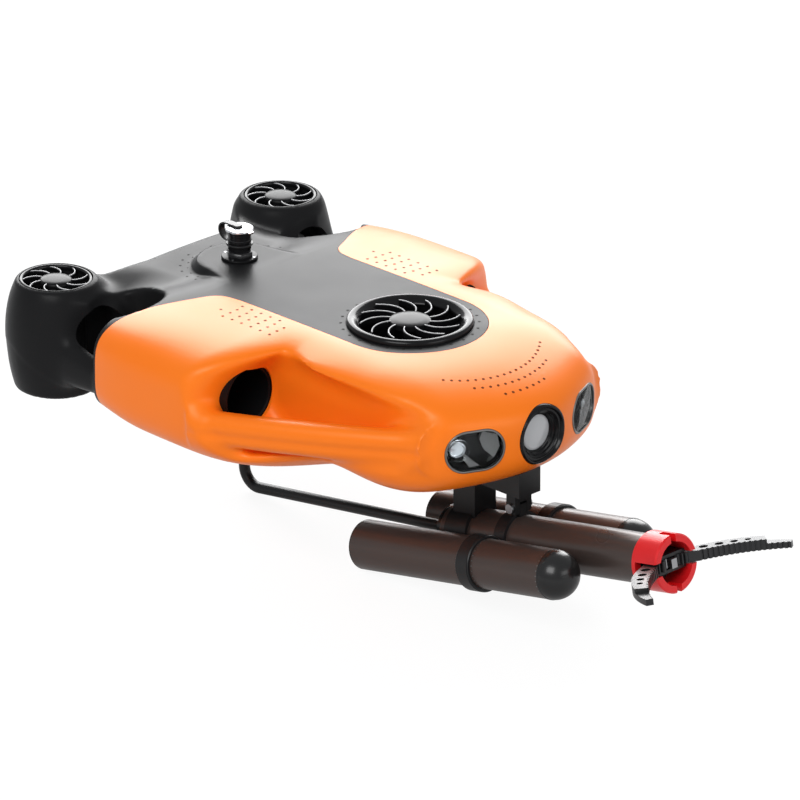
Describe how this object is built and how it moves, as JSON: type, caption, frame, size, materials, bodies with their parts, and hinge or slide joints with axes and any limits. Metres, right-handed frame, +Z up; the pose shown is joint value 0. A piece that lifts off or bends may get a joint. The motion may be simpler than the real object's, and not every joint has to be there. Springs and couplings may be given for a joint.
{
  "type": "underwater inspection vehicle",
  "caption": "Compact underwater inspection vehicle with vertical and side thrusters, camera, lamps, carry handles, tether connector and an underslung gripper arm.",
  "frame": {"origin": "on the floor under the middle of the whole object's box, on the centreline", "axes": "+X forward towards the gripper, +Y to port, +Z up; it stands on the float tubes' rear ends and the stay rod's bend"},
  "size_m": [0.608, 0.314, 0.2095],
  "materials": {
    "orange_shell": "satin moulded shell",
    "deck": "fine-grained dark panel",
    "black_shell": "satin black moulding",
    "guard": "gloss black moulding",
    "motor": "anodised can",
    "propeller": "moulded blades",
    "camera_body": "black stepped barrel",
    "glass": "clear pane",
    "connector_body": "black anodised fitting",
    "connector_metal": "bright cap",
    "strap": "soft strap",
    "inner_pack": "sealed inner case",
    "bracket": "black coated bracket",
    "steel": "machined steel",
    "tube": "dark brown anodised tube",
    "tube_cap": "gloss black cap",
    "collar": "red anodised collar",
    "handle": "satin moulded bar",
    "bezel": "thin metal rim",
    "reflector": "dark faceted reflector",
    "jaw": "dark coated jaw"
  },
  "bodies": {
    "vehicle": {"arm_cap": "tube_cap", "arm_fork": "bracket", "arm_hanger": "bracket", "arm_tube": "tube", "battery_pack": "inner_pack", "camera_barrel": "camera_body", "camera_bezel": "camera_body", "camera_lens": "glass", "cap_strap": "strap", "connector_base": "connector_body", "connector_socket": "connector_body", "deck_panel": "deck", "electronics_bay": "inner_pack", "float_cap_port": "tube_cap", "float_cap_starboard": "tube_cap", "float_dome_port": "tube_cap", "float_dome_starboard": "tube_cap", "float_tube_port": "tube", "float_tube_starboard": "tube", "float_yoke": "bracket", "fork_pin": "steel", "front_duct": "black_shell", "front_guard": "guard", "front_lower_guard": "guard", "front_motor": "motor", "gripper_collar": "collar", "gripper_frame": "steel", "gripper_motor": "inner_pack", "handle_port": "handle", "handle_starboard": "handle", "lamp_bezel_port": "bezel", "lamp_bezel_starboard": "bezel", "lamp_reflector_port": "reflector", "lamp_reflector_starboard": "reflector", "lamp_window_port": "glass", "lamp_window_starboard": "glass", "lower_shell": "orange_shell", "pod_guard_port": "guard", "pod_guard_starboard": "guard", "pod_motor_port": "motor", "pod_motor_starboard": "motor", "pod_port": "black_shell", "pod_starboard": "black_shell", "side_duct_port": "black_shell", "side_duct_starboard": "black_shell", "side_motor_port": "motor", "side_motor_starboard": "motor", "stay_rod": "bracket", "tail_frame": "black_shell", "upper_shell": "orange_shell"},
    "front_rotor": {"front_propeller": "propeller"},
    "pod_rotor_port": {"pod_propeller_port": "propeller"},
    "pod_rotor_starboard": {"pod_propeller_starboard": "propeller"},
    "side_rotor_port": {"side_propeller_port": "propeller"},
    "side_rotor_starboard": {"side_propeller_starboard": "propeller"},
    "rack": {"gripper_rack": "steel"},
    "jaw_left": {"jaw_port": "jaw"},
    "jaw_right": {"jaw_starboard": "jaw"},
    "dust_cap": {"connector_cap": "connector_metal"}
  },
  "joints": [
    {"name": "front_spin", "type": "hinge", "parent": "vehicle", "child": "front_rotor", "pos_m": [-0.014, 0, 0.1585], "axis": [0, 0, 1], "continuous": true},
    {"name": "pod_spin_port", "type": "hinge", "parent": "vehicle", "child": "pod_rotor_port", "pos_m": [-0.267, 0.116, 0.1535], "axis": [0, 0, 1], "continuous": true},
    {"name": "pod_spin_starboard", "type": "hinge", "parent": "vehicle", "child": "pod_rotor_starboard", "pos_m": [-0.267, -0.116, 0.1535], "axis": [0, 0, 1], "continuous": true},
    {"name": "side_spin_port", "type": "hinge", "parent": "vehicle", "child": "side_rotor_port", "pos_m": [-0.149, 0.109, 0.1415], "axis": [1, 0, 0], "continuous": true},
    {"name": "side_spin_starboard", "type": "hinge", "parent": "vehicle", "child": "side_rotor_starboard", "pos_m": [-0.149, -0.109, 0.1415], "axis": [1, 0, 0], "continuous": true},
    {"name": "jaw_port_hinge", "type": "hinge", "parent": "vehicle", "child": "jaw_left", "pos_m": [0.2464, 0.012, 0.07408], "axis": [-0.1822, 0, 0.9833], "range_deg": [-54, 0]},
    {"name": "jaw_starboard_hinge", "type": "hinge", "parent": "vehicle", "child": "jaw_right", "pos_m": [0.2464, -0.012, 0.07408], "axis": [-0.1822, 0, 0.9833], "range_deg": [0, 54]},
    {"name": "rack_slide", "type": "slide", "parent": "vehicle", "child": "rack", "axis": [0.9833, 0, 0.1822], "range_m": [-0.00708, 0]},
    {"name": "cap_lift", "type": "slide", "parent": "vehicle", "child": "dust_cap", "axis": [0, 0, 1], "range_m": [0, 0.014], "deforming": ["cap_strap"]}
  ],
  "couplings": [
    {"joint": "jaw_starboard_hinge", "follows": "jaw_port_hinge", "ratio": -1},
    {"joint": "rack_slide", "follows": "jaw_port_hinge", "m_per_rad": 0.0075}
  ]
}
